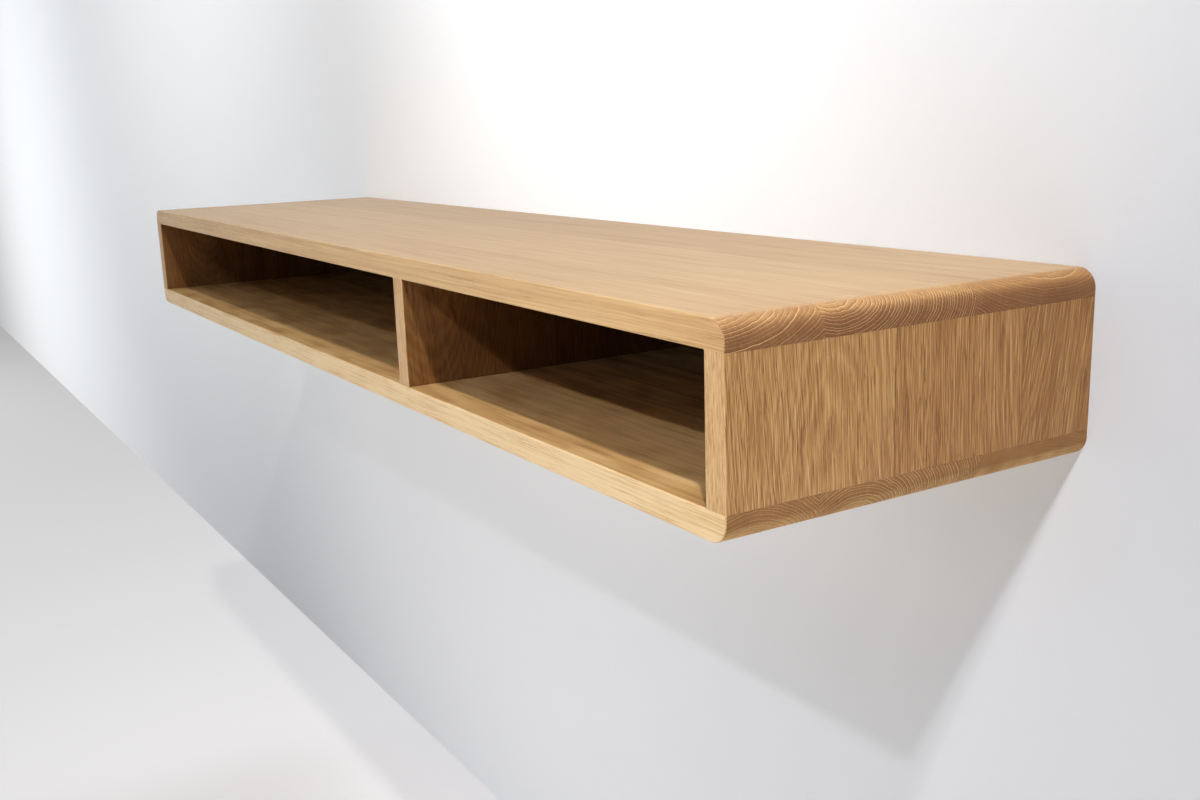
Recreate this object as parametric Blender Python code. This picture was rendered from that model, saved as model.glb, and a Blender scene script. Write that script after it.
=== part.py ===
"""Floating console shelf in oak: an open two-bay case that hangs on a hidden bevelled rail.

Metres, +Z up. The case runs along X, its open front faces -Y and the wall is the plane y = 0.
The origin is the middle of the wall rail's back face, where the console is fastened to the wall.
"""

import math

import bmesh
import bpy
from mathutils import Matrix

# Case, outside sizes
LENGTH = 1.310
DEPTH = 0.312
HEIGHT = 0.130

# Boards
TOP_THICKNESS = 0.019
BOTTOM_THICKNESS = 0.019
END_THICKNESS = 0.019
DIVIDER_THICKNESS = 0.019
BACK_THICKNESS = 0.006
RIGHT_BAY_WIDTH = 0.420

# Shaping of the boards
END_ROUND = 0.014
ARRIS = 0.0009
GROOVE_DEPTH = 0.006

# Bevelled hanging rails, both ripped from one board
RAIL_THICKNESS = 0.018
RAIL_SETBACK = 0.001
RAIL_SIDE_PLAY = 0.016
CLEAT_ANGLE = math.radians(45)
CLEAT_TIP = 0.002
LIFT_CLEARANCE = 0.006

# Screw holes along the wall rail
SCREW_HOLES = 4
SCREW_HOLE_INSET = 0.020
SCREW_HOLE_DIAMETER = 0.005
SCREW_HEAD_DIAMETER = 0.010

# Loose tenons in the case joints
TENON_THICKNESS = 0.008
TENON_WIDTH = 0.040
TENON_IN_END_GRAIN = 0.022
TENON_COVER = 0.007
TENON_INSET = 0.030
TENONS_PER_CORNER = 3
TENONS_PER_DIVIDER_END = 2

# Dowels that join the case rail to the end panels
DOWEL_DIAMETER = 0.008
DOWEL_IN_RAIL = 0.022
DOWEL_COVER = 0.007
DOWEL_CHAMFER = 0.001

# Fits and facets
GAP = 0.0003
ROUND_SEGMENTS = 14
TENON_EDGE_SEGMENTS = 8
HOLE_SEGMENTS = 24
DOWEL_SEGMENTS = 20
SMOOTH_BELOW = math.radians(30)

# Colours, roughness and metallic value from the photo
PALE_OAK = (0.62, 0.42, 0.23, 1.0)
END_OAK = (0.52, 0.32, 0.15, 1.0)
SHADED_OAK = (0.42, 0.26, 0.13, 1.0)
BEECH = (0.66, 0.46, 0.28, 1.0)
OILED_ROUGHNESS = 0.45
SAWN_ROUGHNESS = 0.65
WOOD_METALLIC = 0.0

# The bays
INNER_LENGTH = LENGTH - 2 * END_THICKNESS
INNER_HEIGHT = HEIGHT - TOP_THICKNESS - BOTTOM_THICKNESS
RIGHT_END_INSIDE = INNER_LENGTH / 2
DIVIDER_RIGHT = RIGHT_END_INSIDE - RIGHT_BAY_WIDTH
DIVIDER_LEFT = DIVIDER_RIGHT - DIVIDER_THICKNESS
FRONT = -DEPTH

# The rails, in section: each has a long side and a short side, with the bevel between them
BEVEL_SLOPE = math.tan(CLEAT_ANGLE)
BEVEL_RISE = RAIL_THICKNESS * BEVEL_SLOPE
RAIL_STOCK = INNER_HEIGHT - GAP - BEVEL_RISE - LIFT_CLEARANCE
RAIL_LONG = (RAIL_STOCK + BEVEL_RISE) / 2
RAIL_SHORT = (RAIL_STOCK - BEVEL_RISE) / 2
CASE_RAIL_BACK = -RAIL_SETBACK
CASE_RAIL_FRONT = CASE_RAIL_BACK - RAIL_THICKNESS
CASE_RAIL_POINT = RAIL_SHORT / 2 + RAIL_SETBACK * BEVEL_SLOPE + GAP / math.cos(CLEAT_ANGLE)
CASE_RAIL_TOP = CASE_RAIL_POINT + RAIL_LONG
WALL_RAIL_LENGTH = INNER_LENGTH - 2 * RAIL_SIDE_PLAY

# Heights and the back panel's place follow from the rails
TOP_UNDERSIDE = CASE_RAIL_TOP + GAP
CASE_TOP = TOP_UNDERSIDE + TOP_THICKNESS
BAY_FLOOR = TOP_UNDERSIDE - INNER_HEIGHT
BAY_MIDDLE = BAY_FLOOR + INNER_HEIGHT / 2
BACK_PANEL_REAR = CASE_RAIL_FRONT - GAP
BACK_PANEL_FRONT = BACK_PANEL_REAR - BACK_THICKNESS
BACK_PANEL_MIDDLE = (BACK_PANEL_FRONT + BACK_PANEL_REAR) / 2
DIVIDER_REAR = BACK_PANEL_FRONT - GAP


def clear_scene():
    """Remove every object of the startup scene."""
    for obj in list(bpy.data.objects):
        bpy.data.objects.remove(obj, do_unlink=True)


def wood(name, colour, roughness):
    """Return a new plain wood material."""
    material = bpy.data.materials.new(name)
    material.use_nodes = True
    shader = material.node_tree.nodes["Principled BSDF"]
    shader.inputs["Base Color"].default_value = colour
    shader.inputs["Roughness"].default_value = roughness
    shader.inputs["Metallic"].default_value = WOOD_METALLIC
    material.diffuse_color = colour
    return material


def new_object(name, shape, place):
    """Turn a bmesh, modelled round its own centre, into a named object at its place."""
    mesh = bpy.data.meshes.new(name)
    shape.to_mesh(mesh)
    shape.free()
    obj = bpy.data.objects.new(name, mesh)
    obj.location = place
    bpy.context.scene.collection.objects.link(obj)
    return obj


def new_piece(name, shape, place, carrier, colour, roughness=OILED_ROUGHNESS):
    """Return a visible piece of the console, parented to the empty that carries it."""
    piece = new_object(name, shape, place)
    piece.data.materials.append(wood(f"{name}_wood", colour, roughness))
    piece.data.shade_smooth()
    piece.data.set_sharp_from_angle(angle=SMOOTH_BELOW)
    piece.parent = carrier
    piece.matrix_parent_inverse = carrier.matrix_basis.inverted()
    return piece


def new_cutter(name, shape, place=(0.0, 0.0, 0.0)):
    """Return a helper object that only cuts other pieces."""
    cutter = new_object(name, shape, place)
    cutter.hide_render = True
    cutter.display_type = "WIRE"
    return cutter


def cut(piece, cutter):
    """Take the cutter's shape out of the piece."""
    modifier = piece.modifiers.new(cutter.name, "BOOLEAN")
    modifier.operation = "DIFFERENCE"
    modifier.solver = "EXACT"
    modifier.object = cutter


def carrier_empty(name, place, tilt=0.0):
    """Return an empty that carries one rigid body of the console."""
    empty = bpy.data.objects.new(name, None)
    empty.matrix_basis = Matrix.Translation(place) @ Matrix.Rotation(tilt, 4, "X")
    bpy.context.scene.collection.objects.link(empty)
    return empty


def box(size):
    """Return a bmesh box round its own centre."""
    shape = bmesh.new()
    bmesh.ops.create_cube(shape, size=1.0, matrix=Matrix.Diagonal((*size, 1.0)))
    return shape


def bevel(shape, edges, offset, segments):
    """Round or chamfer some edges of a shape."""
    bmesh.ops.bevel(
        shape,
        geom=edges,
        offset=offset,
        segments=segments,
        profile=0.5,
        affect="EDGES",
        clamp_overlap=True,
        material=-1,
    )


def edges_where(shape, test):
    """Return the edges whose two ends both pass a test of their position."""
    return [edge for edge in shape.edges if all(test(vertex.co) for vertex in edge.verts)]


def middle_of(edge):
    """Return the middle point of an edge."""
    return (edge.verts[0].co + edge.verts[1].co) / 2


def spread(first, last, count):
    """Return evenly spread places from first to last."""
    return [first + (last - first) * index / (count - 1) for index in range(count)]


def extruded_along_x(outline, length):
    """Return a prism with this (y, z) outline, centred along X."""
    shape = bmesh.new()
    corners = [shape.verts.new((-length / 2, y, z)) for y, z in outline]
    start = shape.faces.new(corners)
    swept = bmesh.ops.extrude_face_region(shape, geom=[start])["geom"]
    moved = [item for item in swept if isinstance(item, bmesh.types.BMVert)]
    bmesh.ops.translate(shape, verts=moved, vec=(length, 0.0, 0.0))
    bmesh.ops.recalc_face_normals(shape, faces=shape.faces)
    return shape


def add_slug(shape, middle, width, thickness, height):
    """Add an upright slug with round edges to a shape: width along Y, thickness along X."""
    radius = thickness / 2
    reach = width / 2 - radius
    corners = []
    for side in (1, -1):
        for step in range(TENON_EDGE_SEGMENTS + 1):
            turn = math.pi * step / TENON_EDGE_SEGMENTS
            across = side * radius * math.cos(turn)
            along = side * (reach + radius * math.sin(turn))
            corners.append(shape.verts.new((across, along, -height / 2)))
    base = shape.faces.new(corners)
    swept = bmesh.ops.extrude_face_region(shape, geom=[base])["geom"]
    top = [item for item in swept if isinstance(item, bmesh.types.BMVert)]
    bmesh.ops.translate(shape, verts=top, vec=(0.0, 0.0, height))
    slug = corners + top
    bmesh.ops.translate(shape, verts=slug, vec=middle)
    faces = {face for vertex in slug for face in vertex.link_faces}
    bmesh.ops.recalc_face_normals(shape, faces=list(faces))


def round_ends(shape, thickness, outward):
    """Round the two outer end edges of a top or bottom board.

    outward is 1 where the board's outer face is above it and -1 where it is below.
    """
    outer = edges_where(shape, lambda corner: corner.z * outward > 0)
    ends = [edge for edge in outer if abs(middle_of(edge).x) > LENGTH / 4]
    bevel(shape, ends, min(END_ROUND, thickness - ARRIS), ROUND_SEGMENTS)


def ease_front(shape, outward):
    """Ease the front edges of a top or bottom board.

    The inner front edge is eased in the bays only, so that the joints at the front stay tight.
    """
    bays = ((-RIGHT_END_INSIDE, DIVIDER_LEFT), (DIVIDER_RIGHT, RIGHT_END_INSIDE))
    for limit in (x for bay in bays for x in bay):
        everything = shape.verts[:] + shape.edges[:] + shape.faces[:]
        bmesh.ops.bisect_plane(shape, geom=everything, plane_co=(limit, 0, 0), plane_no=(1, 0, 0))
    shape.normal_update()
    eased = []
    for edge in shape.edges:
        faces_front = [face.normal.y < -0.5 for face in edge.link_faces]
        if sum(faces_front) != 1:
            continue
        is_inner = any(face.normal.z * outward < -0.5 for face in edge.link_faces)
        in_a_bay = any(left < middle_of(edge).x < right for left, right in bays)
        if in_a_bay or not is_inner:
            eased.append(edge)
    bevel(shape, eased, ARRIS, 1)


def build_long_board(name, thickness, outward, middle_height, case):
    """Return the top or the bottom board, which run the full length of the case."""
    shape = box((LENGTH, DEPTH, thickness))
    round_ends(shape, thickness, outward)
    ease_front(shape, outward)
    return new_piece(name, shape, (0.0, FRONT / 2, middle_height), case, PALE_OAK)


def build_upright(name, thickness, middle_x, rear, colour, case):
    """Return an end panel or the divider, which stand between top and bottom."""
    depth = rear - FRONT
    shape = box((thickness, depth, INNER_HEIGHT - 2 * GAP))
    front = edges_where(shape, lambda corner: corner.y < 0)
    upright = [edge for edge in front if abs(middle_of(edge).x) > thickness / 4]
    bevel(shape, upright, ARRIS, 1)
    return new_piece(name, shape, (middle_x, (FRONT + rear) / 2, BAY_MIDDLE), case, colour)


def build_back_panel(case):
    """Add the thin back panel and return the cutter for the groove round it."""
    length = INNER_LENGTH + 2 * GROOVE_DEPTH
    height = INNER_HEIGHT + 2 * GROOVE_DEPTH
    place = (0.0, BACK_PANEL_MIDDLE, BAY_MIDDLE)
    panel = box((length - 2 * GAP, BACK_THICKNESS, height - 2 * GAP))
    new_piece("back_panel", panel, place, case, SHADED_OAK)
    return new_cutter("back_groove", box((length, BACK_THICKNESS + 2 * GAP, height)), place)


def build_case_rail(case):
    """Return the hanging rail inside the case, its bevel hooked down behind the wall rail's."""
    tip = CASE_RAIL_POINT + CLEAT_TIP * BEVEL_SLOPE
    outline = (
        (CASE_RAIL_BACK, CASE_RAIL_TOP),
        (CASE_RAIL_BACK, tip),
        (CASE_RAIL_BACK - CLEAT_TIP, tip),
        (CASE_RAIL_FRONT, CASE_RAIL_POINT + BEVEL_RISE),
        (CASE_RAIL_FRONT, CASE_RAIL_TOP),
    )
    shape = extruded_along_x(outline, INNER_LENGTH - 2 * GAP)
    return new_piece("case_rail", shape, (0.0, 0.0, 0.0), case, SHADED_OAK, SAWN_ROUGHNESS)


def screw_hole():
    """Return a hole through the wall rail along Y, countersunk at 90 degrees from the front."""
    radius = SCREW_HOLE_DIAMETER / 2
    head = SCREW_HEAD_DIAMETER / 2
    past = radius
    profile = (
        (radius, past),
        (radius, head - radius - RAIL_THICKNESS),
        (head + past, -RAIL_THICKNESS - past),
    )
    shape = bmesh.new()
    line = [shape.verts.new((x, y, 0.0)) for x, y in profile]
    edges = [shape.edges.new(pair) for pair in zip(line, line[1:])]
    bmesh.ops.spin(
        shape,
        geom=line + edges,
        cent=(0.0, 0.0, 0.0),
        axis=(0.0, 1.0, 0.0),
        angle=2 * math.pi,
        steps=HOLE_SEGMENTS,
        use_merge=True,
    )
    bmesh.ops.holes_fill(shape, edges=shape.edges)
    bmesh.ops.recalc_face_normals(shape, faces=shape.faces)
    return shape


def build_wall_rail(wall):
    """Add the rail that is screwed to the wall, with a countersunk hole for each screw."""
    bottom = -RAIL_SHORT / 2
    flat = RAIL_SHORT / 2 + BEVEL_RISE - CLEAT_TIP * BEVEL_SLOPE
    outline = (
        (0.0, bottom),
        (0.0, RAIL_SHORT / 2),
        (CLEAT_TIP - RAIL_THICKNESS, flat),
        (-RAIL_THICKNESS, flat),
        (-RAIL_THICKNESS, bottom),
    )
    shape = extruded_along_x(outline, WALL_RAIL_LENGTH)
    rail = new_piece("wall_rail", shape, (0.0, 0.0, 0.0), wall, SHADED_OAK, SAWN_ROUGHNESS)
    outermost = WALL_RAIL_LENGTH / 2 - SCREW_HOLE_INSET
    for index, x in enumerate(spread(-outermost, outermost, SCREW_HOLES)):
        cut(rail, new_cutter(f"screw_hole_{index + 1}", screw_hole(), (x, 0.0, 0.0)))


def build_tenons(joint, x, count, joint_height, inward, face_thickness, case):
    """Add the loose tenons of one joint and return the cutter for their mortises.

    inward is 1 where the upright stands above the joint and -1 where it hangs below it.
    """
    in_face = face_thickness - TENON_COVER
    height = in_face + TENON_IN_END_GRAIN
    middle = joint_height + inward * (TENON_IN_END_GRAIN - in_face) / 2
    first = FRONT + TENON_INSET + TENON_WIDTH / 2
    last = DIVIDER_REAR - TENON_INSET - TENON_WIDTH / 2
    mortises = bmesh.new()
    for index, y in enumerate(spread(first, last, count)):
        tenon = bmesh.new()
        add_slug(tenon, (0.0, 0.0, 0.0), TENON_WIDTH, TENON_THICKNESS, height)
        new_piece(f"{joint}_tenon_{index + 1}", tenon, (x, y, middle), case, BEECH, SAWN_ROUGHNESS)
        add_slug(
            mortises,
            (x, y, middle),
            TENON_WIDTH + 2 * GAP,
            TENON_THICKNESS + 2 * GAP,
            height + 2 * GAP,
        )
    return new_cutter(f"{joint}_mortises", mortises)


def dowel(diameter, length, chamfer):
    """Return a round dowel along X with chamfered ends, round its own centre."""
    shape = bmesh.new()
    bmesh.ops.create_cone(
        shape,
        cap_ends=True,
        segments=DOWEL_SEGMENTS,
        radius1=diameter / 2,
        radius2=diameter / 2,
        depth=length,
        matrix=Matrix.Rotation(math.pi / 2, 4, "Y"),
    )
    if chamfer:
        caps = [face for face in shape.faces if len(face.verts) == DOWEL_SEGMENTS]
        bevel(shape, [edge for cap in caps for edge in cap.edges], chamfer, 1)
    return shape


def build_rail_dowel(side, sign, case):
    """Add the dowel at one end of the case rail and return the cutter for its hole."""
    in_end = END_THICKNESS - DOWEL_COVER
    length = in_end + DOWEL_IN_RAIL
    place = (
        sign * (RIGHT_END_INSIDE + (in_end - DOWEL_IN_RAIL) / 2),
        (CASE_RAIL_BACK + CASE_RAIL_FRONT) / 2,
        CASE_RAIL_TOP - RAIL_SHORT / 2,
    )
    peg = dowel(DOWEL_DIAMETER, length, DOWEL_CHAMFER)
    new_piece(f"{side}_rail_dowel", peg, place, case, BEECH, SAWN_ROUGHNESS)
    hole = dowel(DOWEL_DIAMETER + 2 * GAP, length + 2 * GAP, 0.0)
    return new_cutter(f"{side}_rail_dowel_hole", hole, place)


def main():
    clear_scene()
    wall = carrier_empty("wall", (0.0, 0.0, 0.0))
    bevel_middle = (0.0, -RAIL_THICKNESS / 2, (RAIL_SHORT + BEVEL_RISE) / 2)
    case = carrier_empty("case", bevel_middle, math.pi / 2 - CLEAT_ANGLE)

    top = build_long_board("top_panel", TOP_THICKNESS, 1, CASE_TOP - TOP_THICKNESS / 2, case)
    bottom = build_long_board(
        "bottom_panel", BOTTOM_THICKNESS, -1, BAY_FLOOR - BOTTOM_THICKNESS / 2, case
    )
    groove = build_back_panel(case)
    case_rail = build_case_rail(case)
    build_wall_rail(wall)

    end_middle = LENGTH / 2 - END_THICKNESS / 2
    divider_middle = (DIVIDER_LEFT + DIVIDER_RIGHT) / 2
    uprights = {
        "left": build_upright("left_end_panel", END_THICKNESS, -end_middle, 0.0, END_OAK, case),
        "divider": build_upright(
            "divider_panel", DIVIDER_THICKNESS, divider_middle, DIVIDER_REAR, END_OAK, case
        ),
        "right": build_upright("right_end_panel", END_THICKNESS, end_middle, 0.0, END_OAK, case),
    }
    for board in (top, bottom, uprights["left"], uprights["right"]):
        cut(board, groove)

    for place, upright in uprights.items():
        is_divider = place == "divider"
        count = TENONS_PER_DIVIDER_END if is_divider else TENONS_PER_CORNER
        x = upright.location.x
        for level, board, height, inward, thickness in (
            ("top", top, TOP_UNDERSIDE, -1, TOP_THICKNESS),
            ("bottom", bottom, BAY_FLOOR, 1, BOTTOM_THICKNESS),
        ):
            joint = f"{level}_{place}"
            mortises = build_tenons(joint, x, count, height, inward, thickness, case)
            cut(board, mortises)
            cut(upright, mortises)

    for side, sign in (("left", -1), ("right", 1)):
        hole = build_rail_dowel(side, sign, case)
        cut(case_rail, hole)
        cut(uprights[side], hole)


main()
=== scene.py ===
"""Looks of the floating console shelf: oak boards, hidden rails, and a plain wall and floor.

Metres, +Z up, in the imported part's own frame. The wall is the plane y = 0, the open front faces -Y and
the narrow bay is at the +X end.
"""

import logging
import math
from collections.abc import Iterable, Sequence
from dataclasses import dataclass, replace
from enum import Enum
from typing import TypeAlias

import bmesh
import bpy
from bmesh.types import BMEdge, BMesh, BMVert
from bpy.types import Material, Node, NodeSocket, NodeTree, Object
from mathutils import Matrix, Vector


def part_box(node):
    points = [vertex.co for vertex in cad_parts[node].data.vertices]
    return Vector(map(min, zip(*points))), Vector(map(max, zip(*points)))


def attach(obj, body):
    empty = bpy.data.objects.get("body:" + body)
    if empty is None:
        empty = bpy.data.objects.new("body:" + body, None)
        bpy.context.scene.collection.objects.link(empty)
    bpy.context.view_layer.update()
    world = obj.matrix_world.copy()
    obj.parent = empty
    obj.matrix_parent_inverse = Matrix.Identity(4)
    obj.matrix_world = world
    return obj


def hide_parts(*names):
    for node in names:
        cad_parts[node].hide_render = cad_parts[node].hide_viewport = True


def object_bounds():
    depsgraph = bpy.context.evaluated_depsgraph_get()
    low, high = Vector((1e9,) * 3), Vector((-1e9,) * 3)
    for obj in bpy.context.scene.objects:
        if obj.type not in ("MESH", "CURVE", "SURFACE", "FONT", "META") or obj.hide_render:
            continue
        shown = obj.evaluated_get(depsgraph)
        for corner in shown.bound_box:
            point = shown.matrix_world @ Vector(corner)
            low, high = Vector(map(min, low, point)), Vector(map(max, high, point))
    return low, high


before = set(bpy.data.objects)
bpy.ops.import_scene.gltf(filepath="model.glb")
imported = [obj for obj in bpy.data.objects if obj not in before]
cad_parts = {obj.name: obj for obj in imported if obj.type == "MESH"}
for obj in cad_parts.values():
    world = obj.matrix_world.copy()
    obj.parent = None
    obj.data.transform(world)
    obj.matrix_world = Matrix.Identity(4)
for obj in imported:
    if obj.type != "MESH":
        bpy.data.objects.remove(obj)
CAD_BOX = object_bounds()

LOG = logging.getLogger("console_shelf")
CASE_BODY = "case"
Colour: TypeAlias = tuple[float, float, float]
Point: TypeAlias = tuple[float, float, float]
Number: TypeAlias = "Wire | float"

BLACK: Colour = (0.0, 0.0, 0.0)
WHITE: Colour = (1.0, 1.0, 1.0)


class Grain(Enum):
    """Which way a board's fibres run."""

    ALONG = "along the case"
    UPRIGHT = "up the case"


class ShadedSide(Enum):
    """Which way a face that looks into a bay points, as an axis and a sign; such faces get painted shade.
    """

    LEFT = (0, -1)
    RIGHT = (0, 1)
    FRONT = (1, -1)
    DOWN = (2, -1)


# Shader graphs


class Wire:
    """One socket of a node tree, with arithmetic that adds Math nodes."""

    def __init__(self, graph: "Graph", socket: NodeSocket) -> None:
        """Keep the socket and the graph that it belongs to."""
        self.graph = graph
        self.socket = socket

    def __add__(self, other: Number) -> "Wire":
        """Return this value plus another."""
        return self.graph.math("ADD", self, other)

    def __radd__(self, other: float) -> "Wire":
        """Return a number plus this value."""
        return self.graph.math("ADD", other, self)

    def __sub__(self, other: Number) -> "Wire":
        """Return this value less another."""
        return self.graph.math("SUBTRACT", self, other)

    def __rsub__(self, other: float) -> "Wire":
        """Return a number less this value."""
        return self.graph.math("SUBTRACT", other, self)

    def __mul__(self, other: Number) -> "Wire":
        """Return this value times another."""
        return self.graph.math("MULTIPLY", self, other)

    def __truediv__(self, other: Number) -> "Wire":
        """Return this value divided by another."""
        return self.graph.math("DIVIDE", self, other)

    def __abs__(self) -> "Wire":
        """Return this value without its sign."""
        return self.graph.math("ABSOLUTE", self)

    def away(self, point: Point) -> "Wire":
        """Return how far this place is from a point."""
        sockets = {0: self, 1: point}
        return self.graph.add("ShaderNodeVectorMath", {"operation": "DISTANCE"}, sockets, "Value")

    def step(self, start: float, end: float) -> "Wire":
        """Return a soft step from 0 at the start to 1 at the end, which may be the lower one."""
        sockets = {"Value": self, "From Min": start, "From Max": end}
        return self.graph.add("ShaderNodeMapRange", {"interpolation_type": "SMOOTHSTEP"}, sockets)


class Graph:
    """A node tree, with one method that adds any node and short names for the common ones."""

    def __init__(self, tree: NodeTree) -> None:
        """Start on a tree."""
        self.tree = tree

    def add(
        self,
        kind: str,
        settings: dict[str, object] | None = None,
        sockets: dict[str | int, object] | None = None,
        output: str | int = 0,
    ) -> Wire:
        """Add a node.

        Args:
            kind: The node's type.
            settings: Properties to set first. A ramp's stops are pairs of place and colour.
            sockets: Values or wires by input name or number.
            output: Which output to return.

        Returns:
            The wire of that output.
        """
        node = self.tree.nodes.new(kind)
        for name, value in (settings or {}).items():
            if name == "stops":
                self.set_stops(node, value)
            else:
                setattr(node, name, value)
        self.feed(node, sockets or {})
        return Wire(self, node.outputs[output])

    def set_stops(self, ramp: Node, stops: Sequence[tuple[float, Colour]]) -> None:
        """Set a colour ramp's stops, of which it has two at first.

        Args:
            ramp: The ramp's node.
            stops: Pairs of place and colour, in order.
        """
        elements = ramp.color_ramp.elements
        for _ in stops[2:]:
            elements.new(1.0)
        for element, (place, colour) in zip(elements, stops):
            element.position = place
            element.color = rgba(colour)

    def feed(self, node: Node, sockets: dict[str | int, object]) -> None:
        """Link wires to a node's inputs, or set the inputs' own values.

        Args:
            node: The node.
            sockets: Values or wires by input name or number.
        """
        for name, value in sockets.items():
            if isinstance(value, Wire):
                self.tree.links.new(value.socket, node.inputs[name])
            else:
                node.inputs[name].default_value = value

    def math(self, operation: str, left: Number, right: Number = 0.0) -> Wire:
        """Return the result of a Math node."""
        return self.add("ShaderNodeMath", {"operation": operation}, {0: left, 1: right})

    def split(self, vector: Wire) -> tuple[Wire, Wire, Wire]:
        """Return a vector's three parts."""
        parts = self.add("ShaderNodeSeparateXYZ", sockets={0: vector}).socket.node
        return tuple(Wire(self, socket) for socket in parts.outputs)

    def shown(self, sheen: float) -> Wire:
        """Return 1 for rays that show the surroundings as a picture, and 0 for those that carry light.

        Args:
            sheen: What to return instead of 1 for rays that show them in a sheen.

        Returns:
            The share.
        """
        path = self.add("ShaderNodeLightPath").socket.node
        rays = ("Is Camera Ray", "Is Glossy Ray", "Is Transmission Ray")
        seen, shiny, clear = (Wire(self, path.outputs[ray]) for ray in rays)
        return self.math("MAXIMUM", self.math("MAXIMUM", seen, shiny * sheen), clear)

    def mix(self, share: Number, first: object, second: object, blend: str = "MIX") -> Wire:
        """Return two colours mixed, with a share of the second one laid over the first."""
        settings = {"data_type": "RGBA", "blend_type": blend}
        # The node's sockets for colours go by number, because their names repeat
        return self.add("ShaderNodeMix", settings, {0: share, 6: first, 7: second}, 2)


def rgba(colour: Colour) -> tuple[float, float, float, float]:
    """Return a colour as an opaque socket value."""
    return (*colour, 1.0)


def new_material(name: str) -> tuple[Material, Graph, Node]:
    """Start a material, and return it with its graph and the node of its surface."""
    material = bpy.data.materials.new(name)
    material.use_nodes = True
    return material, Graph(material.node_tree), material.node_tree.nodes["Principled BSDF"]


# Finishes


@dataclass(frozen=True)
class Noise:
    """Smooth noise, which may be drawn out one way more than another.

    Attributes:
        counts: Features in a unit of each coordinate. For a board these run along, across and through it.
        detail: How many finer layers are added.
        roughness: How strong those layers are.
    """

    counts: tuple[float, float, float]
    detail: float = 2.0
    roughness: float = 0.5

    def at(self, place: Sequence[Number]) -> Wire:
        """Draw the noise.

        Args:
            place: The three coordinates, of which the first is a wire.

        Returns:
            The noise there, from about 0 to 1.
        """
        graph = place[0].graph
        scaled = [part * count for part, count in zip(place, self.counts)]
        vector = graph.add("ShaderNodeCombineXYZ", sockets=dict(enumerate(scaled)))
        sockets = {"Vector": vector, "Scale": 1.0, "Detail": self.detail, "Roughness": self.roughness}
        return graph.add("ShaderNodeTexNoise", sockets=sockets)

    def swing(self, place: Sequence[Number]) -> Wire:
        """Return the same noise about zero."""
        return self.at(place) - 0.5

    def finer(self, times: float) -> "Noise":
        """Return plainer noise whose features are so many times as fine."""
        return Noise(tuple(count * times for count in self.counts), detail=1.0)


@dataclass(frozen=True)
class Stave:
    """One strip of a glued-up board.

    Attributes:
        start: Where the strip begins, counted along Y.
        pith_across: The tree's heart, along Y.
        pith_deep: The tree's heart, through the board.
        lean_across: How far the heart drifts along Y for each metre of grain.
        lean_deep: How far the heart drifts through the board for each metre of grain.
        slant: How far the streaks move aside for each metre along the grain.
        rings: How plainly the years show in the end grain.
        tone: How much paler the strip is than its board.
        end_tone: How much paler again its end grain is.
        glue: How plainly the glue line at its start shows.
    """

    start: float
    pith_across: float
    pith_deep: float
    lean_across: float = 0.0
    lean_deep: float = 0.0
    slant: float = 0.0
    rings: float = 1.0
    tone: float = 0.0
    end_tone: float = 0.0
    glue: float = 1.0


@dataclass(frozen=True)
class Spot:
    """Where a point of a board's surface lies, as wires of its material.

    Attributes:
        graph: The material's graph.
        along: The place along the grain.
        across: The place across the board, along Y.
        deep: The place through the board.
        facing: The three parts of the surface's direction.
        ends: How squarely the surface cuts the grain, from 0 to 1.
        joints: For each glue joint, 1 where the place lies past it and 0 before.
    """

    graph: Graph
    along: Wire
    across: Wire
    deep: Wire
    facing: tuple[Wire, Wire, Wire]
    ends: Wire
    joints: tuple[Wire, ...]


@dataclass(frozen=True)
class Wood:
    """What the oak is like at a point of a board's surface, as wires of its material.

    Attributes:
        bands: Broad bands along the grain, about zero.
        figure: Broad cross figure, about zero.
        streak: Streaks along the grain, about zero.
        pores: 1 in the open pores and 0 elsewhere.
        dashes: How dark the pores are.
        specks: Fine specks, about zero.
        years: The wood's age, counted outwards from the heart, with spring at whole years.
        season: The part of the year, from 0 to 1.
        late: How far the late wood has set in, from 0 to 1.
        rays: The rays that cross the years, about zero.
    """

    bands: Wire
    figure: Wire
    streak: Wire
    pores: Wire
    dashes: Wire
    specks: Wire
    years: Wire
    season: Wire
    late: Wire
    rays: Wire


# Noise that all the oak boards share

BANDS = Noise((2.6, 60.0, 60.0))
FIGURE = Noise((18.0, 34.0, 34.0))
QUIVER = Noise((16.0, 140.0, 140.0))
VESSELS = Noise((14.0, 760.0, 950.0), detail=1.0)
VESSEL_BREAKS = Noise((50.0, 2000.0, 2400.0), roughness=0.6)
SPECKS = Noise((20.0, 1100.0, 1100.0), detail=1.0)
UNEVEN = Noise((110.0, 0.0, 0.0), detail=1.0)  # Outwards from the heart only
RAYS = Noise((95.0, 90.0, 8.0), detail=1.0)  # Round the heart, outwards and along the grain
BENDS_ACROSS = 9.0
RIPPLES_ACROSS = 60.0
RIPPLES_PER_BEND = 3.0
RIPPLE_DETAIL = 3.0
STAVE_SHIFT = 7.3  # Metres of grain from one stave's noise to the next
THIN_STREAKS = 2.1  # Thin streaks for each soft one

# Strengths and limits that all the oak boards share

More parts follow.
